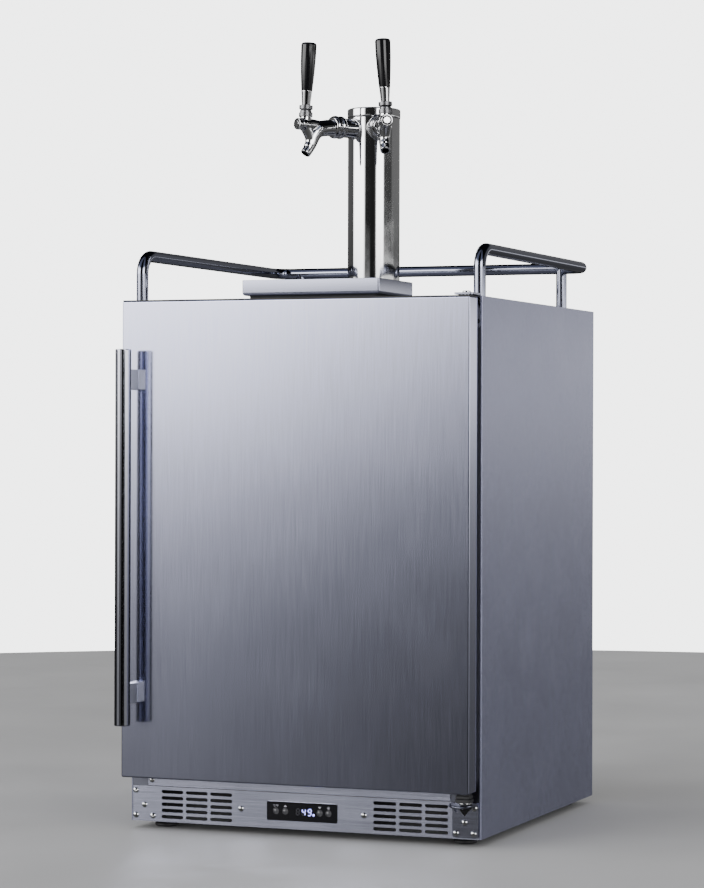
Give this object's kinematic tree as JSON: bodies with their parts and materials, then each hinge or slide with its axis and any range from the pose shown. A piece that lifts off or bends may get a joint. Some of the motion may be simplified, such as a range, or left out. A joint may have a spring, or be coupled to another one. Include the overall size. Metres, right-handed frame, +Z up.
{
  "type": "kegerator",
  "caption": "Undercounter beer dispenser: refrigerated cabinet with hinged door, guard rail, drip tray and a tower with beer taps.",
  "frame": {"origin": "middle of the footprint, on the floor under the levelling feet", "axes": "+Z up, -Y towards the door and the user, +X to the right as the user faces the door"},
  "size_m": [0.6, 0.6496, 1.276],
  "materials": {
    "brushed": "satin",
    "satin": "satin",
    "chrome": "polished",
    "grey_paint": "satin",
    "galvanised": "satin",
    "black_gloss": "gloss",
    "black_plastic": "matte",
    "dark_metal": "satin",
    "rubber": "matte",
    "liner": "satin",
    "foam": "matte",
    "door_core": "satin",
    "display": "gloss",
    "button": "gloss",
    "fins": "satin",
    "brass": "satin",
    "cylinder_paint": "satin"
  },
  "bodies": {
    "cabinet": {"side_panel_left": "grey_paint", "side_panel_right": "grey_paint", "top_panel": "grey_paint", "rear_panel": "galvanised", "base_pan": "galvanised", "front_frame": "dark_metal", "inner_liner": "liner", "insulation_foam": "foam", "kick_plate": "brushed", "lower_rail": "brushed", "upper_hinge_bracket": "brushed", "lower_hinge_bracket": "brushed", "display_lens": "display", "control_housing": "black_plastic", "gallery_rail": "satin", "tower_flange": "chrome", "tower_column": "chrome", "tower_cap": "chrome", "shank_left": "chrome", "shank_right": "chrome", "coupling_nut_left": "chrome", "coupling_nut_right": "chrome", "faucet_body_left": "chrome", "faucet_body_right": "chrome", "compressor": "dark_metal", "condenser": "fins", "fan_shroud": "black_plastic", "power_inlet": "black_plastic", "evaporator_cover": "liner", "co2_cylinder": "cylinder_paint", "regulator_body": "brass"},
    "door": {"door_skin": "brushed", "door_core": "door_core", "door_gasket": "rubber", "hinge_cam_door": "black_plastic", "upper_hinge_bush": "black_plastic", "handle_bar": "satin", "handle_post_lower": "satin", "handle_post_upper": "satin"},
    "tap_lever_left": {"lever_left": "chrome", "tap_handle_left": "black_gloss"},
    "tap_lever_right": {"lever_right": "chrome", "tap_handle_right": "black_gloss"},
    "valve_left": {"valve_shaft_left": "brass"},
    "valve_right": {"valve_shaft_right": "brass"},
    "tray": {"drip_tray": "brushed"},
    "grid": {"drip_grid": "brushed"},
    "condenser_fan": {"condenser_fan": "black_plastic"},
    "evaporator_fan": {"evaporator_fan": "black_plastic"},
    "gas_valve_knob": {"co2_valve_knob": "black_plastic"},
    "regulator_knob": {"regulator_knob": "black_plastic"},
    "unit_button": {"unit_button": "button"},
    "up_button": {"up_button": "button"},
    "down_button": {"down_button": "button"},
    "lamp_button": {"lamp_button": "button"},
    "levelling_foot_1": {"levelling_foot_1": "black_plastic"},
    "levelling_foot_2": {"levelling_foot_2": "black_plastic"},
    "levelling_foot_3": {"levelling_foot_3": "black_plastic"},
    "levelling_foot_4": {"levelling_foot_4": "black_plastic"}
  },
  "joints": [
    {"name": "door_hinge", "type": "hinge", "parent": "cabinet", "child": "door", "pos_m": [0.282, -0.25525, 0.466], "axis": [0, 0, 1], "range_deg": [0, 115]},
    {"name": "tap_lever_left_hinge", "type": "hinge", "parent": "cabinet", "child": "tap_lever_left", "pos_m": [-0.0705, -0.06736, 1.1615], "axis": [0.866, -0.5, 0], "range_deg": [0, 25]},
    {"name": "tap_lever_right_hinge", "type": "hinge", "parent": "cabinet", "child": "tap_lever_right", "pos_m": [0.0705, -0.06736, 1.1615], "axis": [0.866, 0.5, 0], "range_deg": [0, 25]},
    {"name": "valve_left_slide", "type": "slide", "parent": "cabinet", "child": "valve_left", "axis": [0.5, 0.866, 0], "range_m": [0, 0.009]},
    {"name": "valve_right_slide", "type": "slide", "parent": "cabinet", "child": "valve_right", "axis": [-0.5, 0.866, 0], "range_m": [0, 0.009]},
    {"name": "unit_button_press", "type": "slide", "parent": "cabinet", "child": "unit_button", "axis": [0, 1, 0], "range_m": [0, 0.0008], "stiffness_N_per_m": 500, "springref_m": -0.0006},
    {"name": "up_button_press", "type": "slide", "parent": "cabinet", "child": "up_button", "axis": [0, 1, 0], "range_m": [0, 0.0008], "stiffness_N_per_m": 500, "springref_m": -0.0006},
    {"name": "down_button_press", "type": "slide", "parent": "cabinet", "child": "down_button", "axis": [0, 1, 0], "range_m": [0, 0.0008], "stiffness_N_per_m": 500, "springref_m": -0.0006},
    {"name": "lamp_button_press", "type": "slide", "parent": "cabinet", "child": "lamp_button", "axis": [0, 1, 0], "range_m": [0, 0.0008], "stiffness_N_per_m": 500, "springref_m": -0.0006},
    {"name": "condenser_fan_spin", "type": "hinge", "parent": "cabinet", "child": "condenser_fan", "pos_m": [-0.16, 0.24475, 0.108], "axis": [0, 1, 0], "continuous": true},
    {"name": "evaporator_fan_spin", "type": "hinge", "parent": "cabinet", "child": "evaporator_fan", "pos_m": [-0.06, 0.23975, 0.7], "axis": [0, 1, 0], "continuous": true},
    {"name": "tray_lift", "type": "slide", "parent": "cabinet", "child": "tray", "axis": [0, 0, 1], "range_m": [0, 0.12]},
    {"name": "grid_lift", "type": "slide", "parent": "tray", "child": "grid", "axis": [0, 0, 1], "range_m": [0, 0.08]},
    {"name": "levelling_foot_1_screw", "type": "slide", "parent": "cabinet", "child": "levelling_foot_1", "axis": [0, 0, -1], "range_m": [0, 0.015]},
    {"name": "levelling_foot_2_screw", "type": "slide", "parent": "cabinet", "child": "levelling_foot_2", "axis": [0, 0, -1], "range_m": [0, 0.015]},
    {"name": "levelling_foot_3_screw", "type": "slide", "parent": "cabinet", "child": "levelling_foot_3", "axis": [0, 0, -1], "range_m": [0, 0.015]},
    {"name": "levelling_foot_4_screw", "type": "slide", "parent": "cabinet", "child": "levelling_foot_4", "axis": [0, 0, -1], "range_m": [0, 0.015]},
    {"name": "gas_valve_turn", "type": "hinge", "parent": "cabinet", "child": "gas_valve_knob", "pos_m": [0.18, 0.21075, 0.73], "axis": [0, 0, 1], "range_deg": [0, 540]},
    {"name": "regulator_turn", "type": "hinge", "parent": "cabinet", "child": "regulator_knob", "pos_m": [0.095, 0.21075, 0.7127], "axis": [-1, 0, 0], "range_deg": [0, 540]}
  ],
  "couplings": [
    {"joint": "valve_left_slide", "follows": "tap_lever_left_hinge", "m_per_rad": 0.02},
    {"joint": "valve_right_slide", "follows": "tap_lever_right_hinge", "m_per_rad": 0.02}
  ]
}
